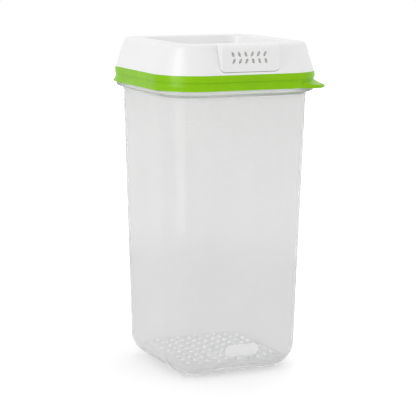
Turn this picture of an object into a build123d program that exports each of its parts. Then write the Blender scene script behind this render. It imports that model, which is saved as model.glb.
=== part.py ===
from build123d import *
import os
from math import atan, ceil, pi, sqrt, tan

# Tall square produce keeper: a translucent bin with a crisper tray in its base, and a lid made of
# a green rim, a white stackable shell and a vent with its filter.
# Millimetres, +Z up.  The origin is on the table, under the centre of the bin.  The vent faces -Y
# and the pull tab is at the front right corner.

os.makedirs("parts", exist_ok=True)

# Bin
rim_top = 240.0
base_width = 113.0
base_corner = 26.0
mouth_width = 125.8
mouth_corner = 27.9
bin_wall = 1.8
floor_thickness = 2.2
heel_radius = 20.0
foot_height = 1.5
foot_radius = 6.0
foot_inset = 22.0
foot_edge = 0.8

# Rim of the bin
neck_height = 8.3
neck_wall = 2.2
neck_edge = 0.7
bead_overhang = 1.3
bead_flat = 1.2
flange_overhang = 5.5
flange_thickness = 2.9
flange_slope = 2.5
flange_edge = 0.6

# Crisper tray
tray_clearance = 0.7
tray_thickness = 2.0
tray_edge = 0.6
leg_height = 3.9
leg_radius = 2.5
leg_spacing = 30.0
bump_radius = 1.85
bump_sink = 0.05
bump_column_pitch = 8.6
bump_row_pitch = 10.5
bump_margin = 3.0
drain_diameter = 3.2

# Seal and green rim of the lid
seal_thickness = 1.4
seal_side_gap = 0.4
seal_edge = 0.3
web_thickness = 2.6
band_gap = 0.3
band_overhang = 2.5
band_lip = 0.9
band_flare = 2.1
band_flare_height = 6.0
band_flare_sag = 0.5
band_groove_width = 0.7
band_step = 0.7
band_bulge = 0.25
band_top_inset = 1.6
band_wall = 4.6
plug_depth = 8.0
plug_wall = 1.7
plug_clearance = 0.43
plug_lead = 0.8

# Pull tab of the green rim
tab_reach = 7.9
tab_thickness = 2.8
tab_drop = 0.7
tab_rise = 5.2
tab_sag = 0.8
tab_root_width = 32.0
tab_root_sink = 1.3
tab_tip_width = 11.0
tab_tip_radius = 9.0
tab_edge = 1.1

# White shell of the lid
shell_height = 23.0
shell_wall = 1.9
shell_foot_inset = 0.1
shell_corner = 19.5
crest_width = 14.4
crest_radius = 3.8
crest_inner_radius = 1.1
recess_depth = 10.0
recess_lean = 2.0
recess_corner = 12.0
recess_fillet = 2.5
stack_sink = 1.5
stack_clearance = 0.9
hollow_headroom = 2.5

# Vent cover, filter, gasket and retainer
vent_width = 50.6
vent_shift = -0.8
vent_sill = 1.75
vent_setback = 0.5
vent_clearance = 0.15
vent_gap = 0.3
vent_corner = 4.0
vent_brow = 3.5
vent_edge = 0.8
vent_face = 2.2
vent_cheek = 1.6
vent_foot_width = 6.0
vent_foot_depth = 2.0
vent_foot_spacing = 34.0
slot_columns = 6
slot_rows = 2
slot_shift = -1.1
slot_stagger = 1.0
slot_rise = 0.6
slot_length = 4.7
slot_width = 2.4
slot_tilt = 27.0
slot_pitch = 5.5
slot_row_pitch = 5.3
filter_clearance = 0.25
filter_thickness = 3.0
gasket_thickness = 1.0
gasket_width = 2.6
retainer_thickness = 2.2
retainer_frame = 3.2
retainer_bar = 1.6
retainer_bars = 3

# Heights and half widths of the bin
base_top = foot_height
floor_top = base_top + floor_thickness
flange_top = rim_top - neck_height
flange_bottom = flange_top - flange_thickness
flange_root = flange_bottom - flange_slope
base_half = base_width / 2
mouth_half = mouth_width / 2
corner_centre = mouth_half - mouth_corner


def between(low, high, z):
    """Value at height z of what changes evenly from the base of the bin to its rim."""
    return low + (high - low) * (z - base_top) / (rim_top - base_top)


def wall_half(z):
    """Half width over the outside of the bin at height z."""
    return between(base_half, mouth_half, z)


def cavity(z):
    """Half width, corner radius and height of the inside of the bin at height z."""
    return wall_half(z) - bin_wall, between(base_corner, mouth_corner, z) - bin_wall, z


neck_outer = mouth_half - bin_wall + neck_wall
bead_outer = neck_outer + bead_overhang
bead_top = rim_top - neck_edge - bead_overhang
bead_bottom = bead_top - bead_flat
flange_half = wall_half(flange_bottom) + flange_overhang

# Heights and half widths of the lid, whose recess takes the heel of the keeper stacked on it
heel_drop = heel_radius - stack_sink
heel_bite = base_half - heel_radius + sqrt(heel_radius**2 - heel_drop**2)
recess_mouth = heel_bite + stack_clearance
crest_outer = recess_mouth + crest_width
vent_depth = vent_setback + vent_face + filter_thickness + gasket_thickness + retainer_thickness

web_bottom = rim_top + seal_thickness
web_top = web_bottom + web_thickness
band_bottom = flange_top + band_gap
band_half = max(
    flange_half + band_overhang,
    crest_outer + vent_depth + shell_foot_inset + band_top_inset,
)
band_inner = band_half - band_wall
band_top_half = band_half - band_top_inset
groove_half = band_half - band_flare
groove_bottom = band_bottom + band_flare_height
groove_top = groove_bottom + band_groove_width
bulge_half = groove_half + band_step
plug_bottom = web_bottom - plug_depth
plug_outer = wall_half(plug_bottom) - bin_wall - plug_clearance
plug_inner = plug_outer - plug_wall

shell_bottom = web_top
shell_top = shell_bottom + shell_height
shell_foot = band_top_half - shell_foot_inset
shell_foot_corner = shell_foot - corner_centre
recess_floor = shell_top - recess_depth
shell_slope = (shell_foot - crest_outer) / shell_height
crest_seat = crest_outer - crest_radius * tan(pi / 4 - atan(shell_slope) / 2)


def square_face(half, radius, z):
    """Rounded square of the given half width and corner radius, lying at height z."""
    with BuildSketch(Plane.XY.offset(z)) as outline:
        RectangleRounded(2 * half, 2 * half, radius)
    return outline.sketch.face()


def ring_path(half):
    """Closed path round the keeper, whose corners turn about the rim's corner centres."""
    return square_face(half, half - corner_centre, rim_top).outer_wire()


def drafted_block(low, high):
    """Solid between two rounded squares, each given as half width, corner radius and height."""
    with BuildPart() as block:
        loft(sections=[square_face(*low), square_face(*high)], ruled=True)
    return block.part


def tub(low, high, heel):
    """Drafted block with its bottom edge rounded."""
    with BuildPart() as body:
        add(drafted_block(low, high))
        fillet(body.edges().group_by(Axis.Z)[0], radius=heel)
    return body.part


# Bin: drafted tub with a flange that stops the lid, a beaded neck above it and four feet
with BuildPart() as bin_body:
    add(tub((base_half, base_corner, base_top), (mouth_half, mouth_corner, rim_top), heel_radius))
    with BuildSketch(Plane.XZ) as rim_profile:
        with BuildLine():
            Polyline(
                (mouth_half - bin_wall / 2, flange_root),
                (flange_half, flange_bottom),
                (flange_half, flange_top),
                (neck_outer, flange_top),
                (neck_outer, bead_bottom - bead_overhang),
                (bead_outer, bead_bottom),
                (bead_outer, bead_top),
                (neck_outer, rim_top - neck_edge),
                (neck_outer - neck_edge, rim_top),
                (mouth_half - bin_wall / 2, rim_top),
                close=True,
            )
        make_face()
        fillet(rim_profile.vertices().group_by(Axis.X)[-1], radius=flange_edge)
    sweep(path=ring_path(neck_outer))
    add(tub(cavity(floor_top), cavity(rim_top), heel_radius - bin_wall), mode=Mode.SUBTRACT)
    with BuildSketch(Plane.XY):
        with GridLocations(base_width - 2 * foot_inset, base_width - 2 * foot_inset, 2, 2):
            Circle(foot_radius)
    extrude(amount=base_top + floor_thickness / 2)
    fillet(bin_body.edges().group_by(Axis.Z)[0], radius=foot_edge)

bin_body.part.label = "bin"
export_step(bin_body.part, "parts/bin.step")


# Crisper tray: raised plate with bumps that carry the produce and drains between them
tray_bottom = floor_top + leg_height
tray_top = tray_bottom + tray_thickness
inner_heel = heel_radius - bin_wall
heel_reach = sqrt(inner_heel**2 - max(inner_heel - leg_height, 0) ** 2)
tray_inset = inner_heel - heel_reach + tray_clearance
tray_half = cavity(floor_top)[0] - tray_inset
tray_corner = cavity(floor_top)[1] - tray_inset


def on_tray(x, y, margin):
    """True where a point keeps the given margin from the edge of the tray."""
    past_x = max(abs(x) - (tray_half - tray_corner), 0)
    past_y = max(abs(y) - (tray_half - tray_corner), 0)
    return sqrt(past_x**2 + past_y**2) <= tray_corner - margin


def lattice(shift):
    """Points of the tray's staggered pattern, shifted along Y by a share of the row pitch."""
    columns = ceil(tray_half / bump_column_pitch)
    rows = ceil(tray_half / bump_row_pitch)
    points = []
    for column in range(-columns, columns):
        for row in range(-rows - 1, rows + 1):
            x = (column + 0.5) * bump_column_pitch
            y = (row + (column % 2) / 2 + shift) * bump_row_pitch
            if on_tray(x, y, bump_margin):
                points.append((x, y))
    return points


with BuildPart() as tray:
    with BuildSketch(Plane.XY.offset(tray_bottom)):
        RectangleRounded(2 * tray_half, 2 * tray_half, tray_corner)
    extrude(amount=tray_thickness)
    fillet(tray.faces().sort_by(Axis.Z)[-1].edges(), radius=tray_edge)
    with BuildSketch(Plane.XY.offset(tray_bottom)):
        with Locations(*lattice(0.5)):
            Circle(drain_diameter / 2)
    extrude(amount=tray_thickness, mode=Mode.SUBTRACT)
    with Locations(*[(x, y, tray_top - bump_sink) for x, y in lattice(0)]):
        Sphere(bump_radius)
    with BuildSketch(Plane.XY.offset(floor_top)):
        with GridLocations(leg_spacing, leg_spacing, 3, 3):
            Circle(leg_radius)
    extrude(amount=leg_height)

tray.part.label = "crisper_tray"
export_step(tray.part, "parts/crisper_tray.step")


# Seal: flat elastomer ring between the rim of the bin and the green rim of the lid
with BuildPart() as seal:
    with BuildSketch(Plane.XZ) as seal_profile:
        with BuildLine():
            Polyline(
                (plug_outer + seal_side_gap, rim_top),
                (band_inner - seal_side_gap, rim_top),
                (band_inner - seal_side_gap, web_bottom),
                (plug_outer + seal_side_gap, web_bottom),
                close=True,
            )
        make_face()
        chamfer(seal_profile.vertices().group_by(Axis.Y)[0], length=seal_edge)
    sweep(path=ring_path(neck_outer))

seal.part.label = "lid_seal"
export_step(seal.part, "parts/lid_seal.step")


# Pull tab: thumb tab turned about the corner of the band and trimmed to a rounded trapezoid
band_radius = band_half - corner_centre
tab_root = band_inner - corner_centre + tab_root_sink
tab_end = band_radius + tab_reach
tab_low = band_bottom - tab_drop
tab_high = tab_low + tab_thickness
tab_start = groove_half - corner_centre
tab_foot = sqrt(band_radius**2 - (tab_root_width / 2) ** 2) - tab_root_sink
tab_out = (1, -1, 0)
tab_corner = (corner_centre, -corner_centre, 0)


def on_tab_outline(edge):
    """True for the edges that run along the trimmed outline of the tab."""
    middle = edge @ 0.5
    beyond = sqrt((middle.X - corner_centre) ** 2 + (middle.Y + corner_centre) ** 2) - band_radius
    upright = abs((edge % 0.5).Z) > 0.9
    return beyond > 2 * tab_drop and not upright


with BuildPart() as tab:
    with BuildSketch(Plane(origin=tab_corner, x_dir=tab_out, z_dir=(-1, -1, 0))):
        with BuildLine():
            ThreePointArc(
                (tab_start, band_bottom + tab_rise),
                (
                    (tab_start + tab_end) / 2 - tab_sag,
                    (band_bottom + tab_rise + tab_high) / 2 - tab_sag,
                ),
                (tab_end, tab_high),
            )
            Polyline(
                (tab_end, tab_high),
                (tab_end, tab_low),
                (band_radius + tab_drop, tab_low),
                (band_radius - tab_drop, band_bottom),
                (tab_root, band_bottom),
                (tab_root, band_bottom + tab_rise),
                (tab_start, band_bottom + tab_rise),
            )
        make_face()
    revolve(axis=Axis(tab_corner, (0, 0, 1)))
    with BuildSketch(Plane(origin=tab_corner, x_dir=tab_out).offset(tab_low)) as tab_plan:
        with BuildLine():
            Polyline(
                (tab_foot, -tab_root_width / 2),
                (tab_end, -tab_tip_width / 2),
                (tab_end, tab_tip_width / 2),
                (tab_foot, tab_root_width / 2),
                close=True,
            )
        make_face()
        fillet(tab_plan.vertices().group_by(Axis.X)[-1], radius=tab_tip_radius)
    extrude(amount=shell_height, mode=Mode.INTERSECT)
    fillet([edge for edge in tab.edges() if on_tab_outline(edge)], radius=tab_edge)


# Green rim: flared band outside, web under the white shell, plug inside the mouth of the bin
with BuildPart() as rim:
    with BuildSketch(Plane.XZ):
        with BuildLine():
            ThreePointArc(
                (band_half, band_bottom + band_lip),
                (
                    (band_half + groove_half) / 2 - band_flare_sag,
                    (band_bottom + band_lip + groove_bottom) / 2,
                ),
                (groove_half, groove_bottom),
            )
            Polyline(
                (groove_half, groove_bottom),
                (groove_half, groove_top),
                (bulge_half, groove_top),
            )
            ThreePointArc(
                (bulge_half, groove_top),
                ((bulge_half + band_top_half) / 2 + band_bulge, (groove_top + web_top) / 2),
                (band_top_half, web_top),
            )
            Polyline(
                (band_top_half, web_top),
                (plug_inner, web_top),
                (plug_inner, plug_bottom),
                (plug_outer - plug_lead, plug_bottom),
                (plug_outer, plug_bottom + plug_lead),
                (plug_outer, web_bottom),
                (band_inner, web_bottom),
                (band_inner, band_bottom),
                (band_half, band_bottom),
                (band_half, band_bottom + band_lip),
            )
        make_face()
    sweep(path=ring_path(neck_outer))
    add(tab.part)

rim.part.label = "lid_rim"
export_step(rim.part, "parts/lid_rim.step")


# White shell: leaning cap round a stacking recess, open below and notched for the vent cover
def shell_section(z, inset=0.0):
    """Half width, corner radius and height of the shell wall at height z, moved in by the inset."""
    share = (z - shell_bottom) / shell_height
    half = shell_foot + share * (crest_outer - shell_foot)
    corner = shell_foot_corner + share * (shell_corner - shell_foot_corner)
    return half - inset, corner - inset, z


def recess_section(z, outset=0.0):
    """Half width, corner radius and height of the recess at height z, moved out by the outset."""
    lean = recess_lean * (shell_top - z) / recess_depth
    return recess_mouth - lean + outset, recess_corner - lean + outset, z


hollow_top = shell_top - hollow_headroom
notch_back = crest_seat + vent_clearance
cover_back = notch_back + vent_clearance
notch_bottom = shell_bottom + vent_sill
cover_bottom = notch_bottom + vent_gap
cover_height = shell_top - cover_bottom

with BuildPart() as hollow:
    add(
        drafted_block(
            shell_section(shell_bottom, shell_wall),
            shell_section(hollow_top, shell_wall),
        )
    )
    add(
        drafted_block(
            recess_section(recess_floor - shell_wall, shell_wall),
            recess_section(shell_top, shell_wall),
        ),
        mode=Mode.SUBTRACT,
    )

with BuildPart() as shell:
    add(drafted_block(shell_section(shell_bottom), shell_section(shell_top)))
    fillet(shell.faces().sort_by(Axis.Z)[-1].edges(), radius=crest_radius)
    add(
        tub(recess_section(recess_floor), recess_section(shell_top), recess_fillet),
        mode=Mode.SUBTRACT,
    )
    fillet(shell.faces().sort_by(Axis.Z)[-1].inner_wires()[0].edges(), radius=crest_inner_radius)
    add(hollow.part, mode=Mode.SUBTRACT)
    with BuildSketch(Plane.XZ.offset(notch_back)) as notch:
        with Locations((vent_shift, notch_bottom)):
            Rectangle(
                vent_width + 2 * vent_clearance,
                2 * shell_height,
                align=(Align.CENTER, Align.MIN),
            )
        fillet(notch.vertices().group_by(Axis.Y)[0], radius=vent_corner)
    extrude(amount=shell_foot, mode=Mode.SUBTRACT)

shell.part.label = "lid_shell"
export_step(shell.part, "parts/lid_shell.step")


# Vent cover: grille that closes the notch, level with the crest of the shell
def leaf():
    """Pointed oval between two arcs, standing upright."""
    with BuildSketch() as oval:
        with BuildLine():
            ThreePointArc((0, -slot_length / 2), (slot_width / 2, 0), (0, slot_length / 2))
            ThreePointArc((0, slot_length / 2), (-slot_width / 2, 0), (0, -slot_length / 2))
        make_face()
    return oval.sketch


cover_front = shell_foot - vent_setback
pocket_front = cover_front - vent_face
pocket_width = vent_width - 2 * vent_cheek
pocket_bottom = cover_bottom + vent_cheek
pocket_height = cover_height - 2 * vent_cheek
pocket_corner = vent_corner - vent_cheek
slot_centre = cover_bottom + cover_height / 2 + slot_rise

with BuildPart() as cover:
    with BuildSketch(Plane.XZ.offset(cover_front)) as cover_outline:
        with Locations((vent_shift, cover_bottom)):
            Rectangle(vent_width, cover_height, align=(Align.CENTER, Align.MIN))
        fillet(cover_outline.vertices().group_by(Axis.Y)[0], radius=vent_corner)
    extrude(amount=cover_back - cover_front)
    fillet(cover.faces().sort_by(Axis.Y)[0].edges().sort_by(Axis.Z)[-1], radius=vent_brow)
    fillet(cover.faces().sort_by(Axis.Y)[0].edges().sort_by(Axis.Z)[0], radius=vent_edge)
    with BuildSketch(Plane.XZ.offset(pocket_front)):
        with Locations((vent_shift, pocket_bottom + pocket_height / 2)):
            RectangleRounded(pocket_width, pocket_height, pocket_corner)
    extrude(amount=cover_back - pocket_front, mode=Mode.SUBTRACT)
    with BuildSketch(Plane.XZ.offset(cover_front)):
        for column in range(slot_columns):
            for row in range(slot_rows):
                x = (column - (slot_columns - 1) / 2) * slot_pitch
                z = (row - (slot_rows - 1) / 2) * slot_row_pitch
                tilt = slot_tilt if (x < 0) == (z > 0) else -slot_tilt
                aside = vent_shift + slot_shift - slot_stagger * z / slot_row_pitch
                with Locations((aside + x, slot_centre + z)):
                    add(leaf(), rotation=tilt)
    extrude(amount=-vent_face, mode=Mode.SUBTRACT)
    with BuildSketch(Plane.XY.offset(shell_bottom)):
        with Locations((vent_shift, -(cover_back + pocket_front) / 2)):
            with GridLocations(vent_foot_spacing, 1, 2, 1):
                Rectangle(vent_foot_width, vent_foot_depth)
    extrude(amount=vent_sill + vent_gap + vent_cheek / 2)

cover.part.label = "vent_cover"
export_step(cover.part, "parts/vent_cover.step")


# Filter stack behind the grille: membrane, gasket and barred retainer, each in the cover's pocket
def pocket_sketch(front, inset=0.0):
    """Outline that fits the pocket with the filter's clearance, moved in by the inset."""
    with BuildSketch(Plane.XZ.offset(front)) as outline:
        with Locations((vent_shift, pocket_bottom + pocket_height / 2)):
            RectangleRounded(
                pocket_width - 2 * (filter_clearance + inset),
                pocket_height - 2 * (filter_clearance + inset),
                max(pocket_corner - filter_clearance - inset, filter_clearance),
            )
    return outline.sketch


gasket_front = pocket_front - filter_thickness
retainer_front = gasket_front - gasket_thickness

with BuildPart() as membrane:
    extrude(pocket_sketch(pocket_front), amount=-filter_thickness)

membrane.part.label = "vent_filter"
export_step(membrane.part, "parts/vent_filter.step")

with BuildPart() as gasket:
    extrude(pocket_sketch(gasket_front), amount=-gasket_thickness)
    extrude(
        pocket_sketch(gasket_front, gasket_width),
        amount=-gasket_thickness,
        mode=Mode.SUBTRACT,
    )

gasket.part.label = "filter_gasket"
export_step(gasket.part, "parts/filter_gasket.step")

with BuildPart() as retainer:
    extrude(pocket_sketch(retainer_front), amount=-retainer_thickness)
    extrude(
        pocket_sketch(retainer_front, retainer_frame),
        amount=-retainer_thickness,
        mode=Mode.SUBTRACT,
    )
    window_width = pocket_width - 2 * (filter_clearance + retainer_frame)
    with BuildSketch(Plane.XZ.offset(retainer_front)):
        with Locations((vent_shift, pocket_bottom + pocket_height / 2)):
            with GridLocations(window_width / (retainer_bars + 1), 1, retainer_bars, 1):
                Rectangle(retainer_bar, pocket_height - 2 * filter_clearance - retainer_frame)
    extrude(amount=-retainer_thickness)

retainer.part.label = "filter_retainer"
export_step(retainer.part, "parts/filter_retainer.step")
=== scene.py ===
import math

import bmesh
import bpy
from mathutils import Matrix, Vector

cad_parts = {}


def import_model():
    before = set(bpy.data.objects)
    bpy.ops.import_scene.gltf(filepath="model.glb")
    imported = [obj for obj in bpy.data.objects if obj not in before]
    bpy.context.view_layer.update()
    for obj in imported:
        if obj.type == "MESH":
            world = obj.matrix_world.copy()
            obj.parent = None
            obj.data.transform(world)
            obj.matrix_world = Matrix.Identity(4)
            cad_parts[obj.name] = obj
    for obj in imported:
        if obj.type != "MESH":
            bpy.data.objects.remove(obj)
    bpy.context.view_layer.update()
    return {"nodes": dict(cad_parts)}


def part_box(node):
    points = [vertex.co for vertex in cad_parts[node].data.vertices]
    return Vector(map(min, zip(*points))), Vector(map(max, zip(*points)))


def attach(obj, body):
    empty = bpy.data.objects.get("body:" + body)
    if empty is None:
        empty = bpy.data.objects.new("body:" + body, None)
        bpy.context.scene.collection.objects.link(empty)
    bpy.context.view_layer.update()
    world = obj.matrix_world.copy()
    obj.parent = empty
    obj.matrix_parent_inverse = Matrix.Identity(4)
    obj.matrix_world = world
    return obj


# Looks of the produce keeper: a clear, slightly milky bin with its crisper tray, and a lid with a
# glossy green rim, a satin white shell and a vent, on a pale floor in soft studio light.
# Lengths are in metres, in the frame of the model, whose front faces -Y.

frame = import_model()
nodes = frame["nodes"]

MM = 0.001
WHITE = (1.0, 1.0, 1.0, 1.0)

# Camera, at the place and angle of the photograph
CAMERA_PLACE = Vector((-0.562025, -1.179514, 0.353779))
CAMERA_AZIMUTH = math.radians(-25.33)
CAMERA_ELEVATION = math.radians(9.8)
CAMERA_ROLL = math.radians(0.39)
CAMERA_LENS = 139.53
CAMERA_SENSOR = 36.0
CAMERA_SHIFT = 0.0012

# Light that the world gives, the point that most softboxes aim at, and the height of the strip
# that only shows in the sheen
AMBIENT = 0.87
BODY_MIDDLE = (0, 0, 0.16)
SHEEN_HEIGHT = 0.31

# Floor, whose own light is dimmer round the keeper and rises to white further out: a painted
# shadow, centred a little left of and in front of the keeper, over the real shadow that the lamps
# cast.  GLOW is what the camera sees added to the lit floor, and SEEN is what reflections and
# clear plastic show, both at their lowest in the painted shadow.
FLOOR_SIZE = 6.0
FLOOR_ALBEDO = 0.8
PAINTED_SHADOW_CENTRE = (-0.07, -0.02, 0.0)
FLOOR_GLOW_IN_PAINTED_SHADOW = 0.3
FLOOR_GLOW_NEAR = 0.08
FLOOR_GLOW_FAR = 0.34
FLOOR_SEEN_IN_PAINTED_SHADOW = 0.88
FLOOR_SEEN_NEAR = 0.4
FLOOR_SEEN_FAR = 0.7

# Clear part of each plastic.  The low index of the bin stands in for light that its wall scatters.
PLASTIC_IOR = 1.42
BIN_IOR = 1.2
BIN_CLEARNESS = 0.92
TRAY_CLEARNESS = 0.45
PLAQUE_CLEARNESS = 0.05

# Milky part of the bin, larger where the rim and the heel are thick, and of the plaque.
# SHINES_THROUGH is the share of its light that comes from behind it.
BIN_MILKINESS = 0.1
THICK_MILKINESS = 0.2
PLAQUE_MILKINESS = 0.12
SHINES_THROUGH = 0.5
RIM_START = 222.0 * MM
RIM_FULL = 227.0 * MM
HEEL_START = 11.0 * MM
HEEL_FULL = 3.0 * MM

# Painted light of the crisper tray: it glows faintly on its plate, and more on its bumps as a
# painted highlight
BUMP_HEIGHT = 1.8 * MM
PAINTED_PLATE_GLOW = 0.06
PAINTED_BUMP_GLOW = 0.26

# Values of a noise between which the first shade of a material turns into the second
SHADE_START = 0.3
SHADE_END = 0.7

# Scale of the weave of the vent's membrane, whose threads lie about 2 mm apart
WEAVE_SCALE = 160.0

# Plain plaque low on the front wall of the bin
PLAQUE_CENTRE_X = -0.6 * MM
PLAQUE_CENTRE_Z = 22.2 * MM
PLAQUE_WIDTH = 30.0 * MM
PLAQUE_HEIGHT = 9.6 * MM
PLAQUE_PROUD = 0.3 * MM
PLAQUE_SINK = 0.15 * MM
PLAQUE_EDGE = 0.15 * MM
PLAQUE_EDGE_STEPS = 3
PLAQUE_CORNER_STEPS = 12
PLAQUE_RINGS = (1.0, 0.8, 0.6, 0.4, 0.2)


# Helpers
def grey(value):
    """Opaque grey."""
    return (value, value, value, 1)


def new_object(name, data):
    """Object with the given data, linked to the scene."""
    piece = bpy.data.objects.new(name, data)
    bpy.context.scene.collection.objects.link(piece)
    return piece


class Shader:
    """A material's node tree with its Principled shader."""

    def __init__(self, name, **sockets):
        self.material = bpy.data.materials.new(name)
        self.material.use_nodes = True
        self.tree = self.material.node_tree
        self.surface = self.tree.nodes["Principled BSDF"]
        self.output = self.tree.nodes["Material Output"]
        for socket, value in sockets.items():
            self.feed(self.surface, socket, value)

    def add(self, kind, settings=None, **sockets):
        """New node of the given kind, with its settings, and values or links for its sockets."""
        node = self.tree.nodes.new("ShaderNode" + kind)
        for name, value in (settings or {}).items():
            setattr(node, name, value)
        for socket, value in sockets.items():
            self.feed(node, socket, value)
        return node

    def feed(self, node, socket, value):
        """Links a node's first output or a socket to an input, or sets the input to a value.

        The input is given by its name, with _ for a space, or by its number, as in0 or in1.
        """
        numbered = socket.startswith("in")
        target = node.inputs[int(socket[2:]) if numbered else socket.replace("_", " ")]
        if isinstance(value, bpy.types.Node):
            self.tree.links.new(value.outputs[0], target)
        elif isinstance(value, bpy.types.NodeSocket):
            self.tree.links.new(value, target)
        else:
            target.default_value = value

    def place(self, stretch=(1, 1, 1)):
        """Coordinates in metres on the piece, multiplied along the axes."""
        coordinates = self.add("TexCoord").outputs["Object"]
        return self.add("Mapping", Vector=coordinates, Scale=stretch)

    def height(self):
        """Height in metres on the piece, which at rest is the height above the table."""
        return self.add("SeparateXYZ", in0=self.place()).outputs["Z"]

    def noise(self, size, detail=3.0, stretch=(1, 1, 1)):
        """Noise whose features are about the given size in metres."""
        return self.add("TexNoise", Vector=self.place(stretch), Scale=1 / size, Detail=detail)

    def math(self, operation, first, second):
        """Result of an operation on two values."""
        return self.add("Math", {"operation": operation}, in0=first, in1=second)

    def fade(self, value, near, far, low, high):
        """Smooth change from low to high, while the value goes from near to far."""
        settings = {"interpolation_type": "SMOOTHSTEP"}
        spans = {"From_Min": near, "From_Max": far, "To_Min": low, "To_Max": high}
        return self.add("MapRange", settings, Value=value, **spans)

    def between(self, factor, low, high):
        """Maps a factor from 0..1 to the given span."""
        return self.add("MapRange", Value=factor, To_Min=low, To_Max=high)

    def shades(self, factor, low, high):
        """Mixes two colours by a factor."""
        ramp = self.add("ValToRGB", Fac=factor)
        stops = zip(ramp.color_ramp.elements, (SHADE_START, SHADE_END), (low, high))
        for stop, position, colour in stops:
            stop.position = position
            stop.color = colour
        return ramp

    def bump(self, height, depth, strength, under=None):
        """Bump of the given depth in metres, over another bump if one is given."""
        node = self.add("Bump", Height=height, Distance=depth, Strength=strength)
        if under is not None:
            self.feed(node, "Normal", under)
        return node

    def milky(self, share, colour, normal):
        """Turns a share of the surface into milky plastic that light shines through."""
        front = self.add("BsdfDiffuse", Color=colour, Normal=normal)
        through = self.add("BsdfTranslucent", Color=colour, Normal=normal)
        cloudy = self.add("MixShader", Fac=SHINES_THROUGH, in1=front, in2=through)
        both = self.add("MixShader", Fac=share, in1=self.surface, in2=cloudy)
        self.feed(self.output, "Surface", both)

    def finish(self, colour, roughness, normal):
        """Feeds the Principled shader and returns the material."""
        self.feed(self.surface, "Base Color", colour)
        self.feed(self.surface, "Roughness", roughness)
        self.feed(self.surface, "Normal", normal)
        return self.material


# Materials
def bin_plastic():
    """Clear, slightly milky polypropylene with faint upright flow marks."""
    shader = Shader("bin_plastic", Transmission_Weight=BIN_CLEARNESS, IOR=BIN_IOR)
    flow = shader.noise(size=9 * MM, stretch=(1, 1, 0.08))
    grain = shader.noise(size=0.5 * MM, detail=2.0)
    colour = shader.shades(flow, low=grey(0.932), high=grey(0.946))
    marks = shader.bump(flow, depth=0.012 * MM, strength=0.4)
    normal = shader.bump(grain, depth=0.004 * MM, strength=0.25, under=marks)
    height = shader.height()
    rim = shader.fade(height, RIM_START, RIM_FULL, BIN_MILKINESS, THICK_MILKINESS)
    heel = shader.fade(height, HEEL_FULL, HEEL_START, THICK_MILKINESS, BIN_MILKINESS)
    shader.milky(shader.math("MAXIMUM", rim, heel), colour, normal)
    return shader.finish(colour, shader.between(flow, low=0.03, high=0.05), normal)


def tray_plastic():
    """Milky polypropylene of the crisper tray, with a painted glow that is brighter on its bumps.
    """
    shader = Shader(
        "tray_plastic", Transmission_Weight=TRAY_CLEARNESS, IOR=PLASTIC_IOR, Emission_Strength=1.0
    )
    cloud = shader.noise(size=14 * MM)
    grain = shader.noise(size=0.3 * MM, detail=2.0)
    height = shader.height()
    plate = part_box("crisper_tray")[1].z - BUMP_HEIGHT
    # Painted light: the tray glows, and glows brighter on the tops of its bumps as a painted
    # highlight.
    glow = shader.fade(height, plate, plate + BUMP_HEIGHT / 2, PAINTED_PLATE_GLOW, PAINTED_BUMP_GLOW)
    shader.feed(shader.surface, "Emission Color", glow)
    return shader.finish(
        colour=shader.shades(cloud, low=(0.93, 0.935, 0.94, 1), high=(0.955, 0.96, 0.96, 1)),
        roughness=shader.between(cloud, low=0.2, high=0.3),
        normal=shader.bump(grain, depth=0.01 * MM, strength=0.4),
    )


def shell_plastic(name):
    """Satin white polypropylene with a fine moulded grain."""
    shader = Shader(name, Specular_IOR_Level=0.4)
    cloud = shader.noise(size=18 * MM)
    grain = shader.noise(size=0.28 * MM, detail=2.0)
    return shader.finish(
        colour=shader.shades(cloud, low=grey(0.845), high=(0.865, 0.865, 0.862, 1)),
        roughness=shader.between(cloud, low=0.34, high=0.42),
        normal=shader.bump(grain, depth=0.012 * MM, strength=0.4),
    )


def rim_plastic():
    """Glossy green of the lid's rim."""
    shader = Shader("rim_plastic", Specular_IOR_Level=0.15)
    cloud = shader.noise(size=16 * MM, stretch=(1, 1, 0.5))
    grain = shader.noise(size=0.4 * MM, detail=2.0)
    return shader.finish(
        colour=shader.shades(cloud, low=(0.235, 0.53, 0.001, 1), high=(0.262, 0.575, 0.001, 1)),
        roughness=shader.between(cloud, low=0.24, high=0.3),
        normal=shader.bump(grain, depth=0.008 * MM, strength=0.35),
    )


def soft_rubber(name):
    """Soft milky elastomer."""
    shader = Shader(
        name, Specular_IOR_Level=0.3, Subsurface_Weight=0.2, Subsurface_Radius=(MM, MM, MM)
    )
    grain = shader.noise(size=0.5 * MM)
    return shader.finish(
        colour=shader.shades(grain, low=(0.72, 0.73, 0.72, 1), high=(0.78, 0.79, 0.78, 1)),
        roughness=shader.between(grain, low=0.5, high=0.65),
        normal=shader.bump(grain, depth=0.02 * MM, strength=0.5),
    )


def filter_fabric():
    """Fine grey-olive weave of the vent's membrane."""
    shader = Shader("filter_fabric", Specular_IOR_Level=0.2)
    threads = []
    for across in ("X", "Z"):
        settings = {"wave_type": "BANDS", "bands_direction": across}
        threads.append(shader.add("TexWave", settings, Vector=shader.place(), Scale=WEAVE_SCALE))
    weave = shader.math("MAXIMUM", *threads)
    return shader.finish(
        colour=shader.shades(weave, low=(0.6, 0.605, 0.56, 1), high=(0.82, 0.825, 0.79, 1)),
        roughness=shader.between(weave, low=0.8, high=0.95),
        normal=shader.bump(weave, depth=0.06 * MM, strength=0.7),
    )


def plaque_plastic():
    """Frosted patch of the bin, paler than the wall round it."""
    shader = Shader("plaque_plastic", Transmission_Weight=PLAQUE_CLEARNESS, IOR=PLASTIC_IOR)
    frost = shader.noise(size=0.6 * MM, detail=4.0)
    colour = shader.shades(frost, low=(0.95, 0.955, 0.96, 1), high=grey(0.98))
    normal = shader.bump(frost, depth=0.03 * MM, strength=0.5)
    shader.milky(PLAQUE_MILKINESS, colour, normal)
    return shader.finish(colour, shader.between(frost, low=0.45, high=0.6), normal)


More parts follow.
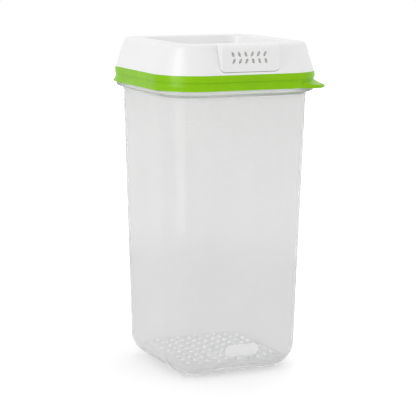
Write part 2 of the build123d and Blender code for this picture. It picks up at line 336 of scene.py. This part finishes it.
FINISHES = {
    "bin": bin_plastic(),
    "crisper_tray": tray_plastic(),
    "lid_rim": rim_plastic(),
    "lid_shell": shell_plastic("shell_plastic"),
    "lid_seal": soft_rubber("seal_rubber"),
    "vent_cover": shell_plastic("vent_plastic"),
    "vent_filter": filter_fabric(),
    "filter_gasket": soft_rubber("gasket_rubber"),
    "filter_retainer": shell_plastic("retainer_plastic"),
}

for node_name, material in FINISHES.items():
    node = nodes[node_name]
    node.data.materials.clear()
    node.data.materials.append(material)


# Plaque
def pill_outline(width, height):
    """Points round a level pill in the XZ plane, whose ends are half circles."""
    radius = height / 2
    points = []
    for side in (1, -1):
        for step in range(PLAQUE_CORNER_STEPS + 1):
            angle = math.pi * step / PLAQUE_CORNER_STEPS - side * math.pi / 2
            x = side * (width / 2 - radius) + radius * math.cos(angle)
            points.append((x, radius * math.sin(angle)))
    return points


def plaque():
    """Thin pill that follows the front wall of the bin, sunk a little into it."""
    mesh = bmesh.new()
    before_wall = 2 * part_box("bin")[0].y
    rings = []
    for share in PLAQUE_RINGS:
        ring = []
        for x, z in pill_outline(PLAQUE_WIDTH, PLAQUE_HEIGHT):
            start = (PLAQUE_CENTRE_X + share * x, before_wall, PLAQUE_CENTRE_Z + share * z)
            _, on_wall, _, _ = nodes["bin"].ray_cast(start, (0, 1, 0))
            ring.append(mesh.verts.new(on_wall))
        rings.append(ring)
    for outer, inner in zip(rings, rings[1:]):
        for k in range(len(outer)):
            mesh.faces.new((outer[k - 1], outer[k], inner[k], inner[k - 1]))
    mesh.faces.new(rings[-1])
    data = bpy.data.meshes.new("plaque")
    mesh.to_mesh(data)
    mesh.free()
    data.materials.append(plaque_plastic())
    piece = new_object("plaque", data)
    solid = piece.modifiers.new("thickness", "SOLIDIFY")
    solid.thickness = PLAQUE_PROUD + PLAQUE_SINK
    solid.offset = (PLAQUE_PROUD - PLAQUE_SINK) / solid.thickness
    bevel = piece.modifiers.new("edge", "BEVEL")
    bevel.width = PLAQUE_EDGE
    bevel.segments = PLAQUE_EDGE_STEPS
    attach(piece, "bin")


# Floor, world, lights and camera
def floor():
    """Floor with the keeper's shadow, partly painted, white further out, in reflections and
    through the bin.
    """
    side = FLOOR_SIZE / 2
    data = bpy.data.meshes.new("floor")
    corners = [(-side, -side, 0), (side, -side, 0), (side, side, 0), (-side, side, 0)]
    data.from_pydata(corners, [], [(0, 1, 2, 3)])
    shader = Shader("floor", Base_Color=grey(FLOOR_ALBEDO), Roughness=1.0, Specular_IOR_Level=0.0)
    distance = {"operation": "DISTANCE"}
    reach = shader.add("VectorMath", distance, in0=shader.place(), in1=PAINTED_SHADOW_CENTRE)
    away = reach.outputs["Value"]
    # The floor's own light is dimmest round the keeper, a painted shadow over the lamps' real one.
    glow = shader.fade(away, FLOOR_GLOW_NEAR, FLOOR_GLOW_FAR, FLOOR_GLOW_IN_PAINTED_SHADOW, 1.0)
    seen = shader.fade(away, FLOOR_SEEN_NEAR, FLOOR_SEEN_FAR, FLOOR_SEEN_IN_PAINTED_SHADOW, 1.0)
    rays = shader.add("LightPath").outputs
    shown = shader.math("MULTIPLY", rays["Is Camera Ray"], glow)
    emission = shader.add("Emission", Color=WHITE, Strength=shown)
    lit = shader.add("AddShader", in0=shader.surface, in1=emission)
    white = shader.add("Emission", Color=WHITE, Strength=seen)
    indirect = shader.math("MAXIMUM", rays["Is Glossy Ray"], rays["Is Transmission Ray"])
    both = shader.add("MixShader", in0=indirect, in1=lit, in2=white)
    shader.feed(shader.output, "Surface", both)
    data.materials.append(shader.material)
    piece = new_object("floor", data)


def world():
    """White where it is seen, also in reflections and through the bin, and dimmer as a light."""
    studio = bpy.data.worlds.new("studio")
    studio.use_nodes = True
    bpy.context.scene.world = studio
    tree = studio.node_tree
    rays = tree.nodes.new("ShaderNodeLightPath").outputs
    shown = rays["Is Camera Ray"]
    for ray in ("Is Glossy Ray", "Is Transmission Ray"):
        either = tree.nodes.new("ShaderNodeMath")
        either.operation = "MAXIMUM"
        tree.links.new(shown, either.inputs[0])
        tree.links.new(rays[ray], either.inputs[1])
        shown = either.outputs[0]
    strength = tree.nodes.new("ShaderNodeMapRange")
    strength.inputs["To Min"].default_value = AMBIENT
    strength.inputs["To Max"].default_value = 1.0
    tree.links.new(shown, strength.inputs["Value"])
    background = tree.nodes["Background"]
    background.inputs["Color"].default_value = WHITE
    tree.links.new(strength.outputs[0], background.inputs["Strength"])


def softbox(name, place, aim, width, height, radiance, lights=True, reflects=True):
    """Area light of the given radiance, which may only light things or only be reflected."""
    light = bpy.data.lights.new(name, "AREA")
    light.shape = "RECTANGLE"
    light.size = width
    light.size_y = height
    light.energy = radiance * math.pi * width * height
    lamp = new_object(name, light)
    lamp.location = place
    lamp.visible_camera = False
    lamp.visible_diffuse = lights
    lamp.visible_transmission = lights
    lamp.visible_glossy = reflects
    lamp.rotation_mode = "QUATERNION"
    lamp.rotation_quaternion = (Vector(aim) - Vector(place)).to_track_quat("-Z", "Y")


def softboxes():
    """Key light from the left, weaker ones from the right and above, and a strip for the sheen."""
    softbox(
        "key_left", place=(-1.3, -0.32, 0.55), aim=BODY_MIDDLE,
        width=0.6, height=0.5, radiance=3.0,
    )
    softbox(
        "fill_right", place=(1.0, -1.2, 0.26), aim=BODY_MIDDLE,
        width=1.0, height=0.44, radiance=1.3, reflects=False,
    )
    softbox(
        "top", place=(0.2, 0.6, 1.3), aim=BODY_MIDDLE,
        width=1.2, height=1.2, radiance=0.45, reflects=False,
    )
    softbox(
        "sheen_left", place=(-0.43, -0.22, SHEEN_HEIGHT), aim=(0, 0, SHEEN_HEIGHT),
        width=0.24, height=0.6, radiance=4.2, lights=False,
    )


def camera():
    """Camera at the photograph's place, turned by its azimuth, elevation and roll."""
    data = bpy.data.cameras.new("camera")
    data.lens = CAMERA_LENS
    data.sensor_width = CAMERA_SENSOR
    data.shift_x = -CAMERA_SHIFT
    data.shift_y = CAMERA_SHIFT
    piece = new_object("camera", data)
    turn, tilt, roll = CAMERA_AZIMUTH, CAMERA_ELEVATION, CAMERA_ROLL
    back = Vector(
        (math.sin(turn) * math.cos(tilt), -math.cos(turn) * math.cos(tilt), math.sin(tilt))
    )
    level = Vector((math.cos(turn), math.sin(turn), 0))
    upright = back.cross(level)
    right = level * math.cos(roll) + upright * math.sin(roll)
    up = upright * math.cos(roll) - level * math.sin(roll)
    axes = Matrix((right, up, back)).transposed().to_4x4()
    piece.matrix_world = Matrix.Translation(CAMERA_PLACE) @ axes
    bpy.context.scene.camera = piece


plaque()
floor()
world()
softboxes()
camera()
bpy.context.scene.view_settings.view_transform = "Standard"
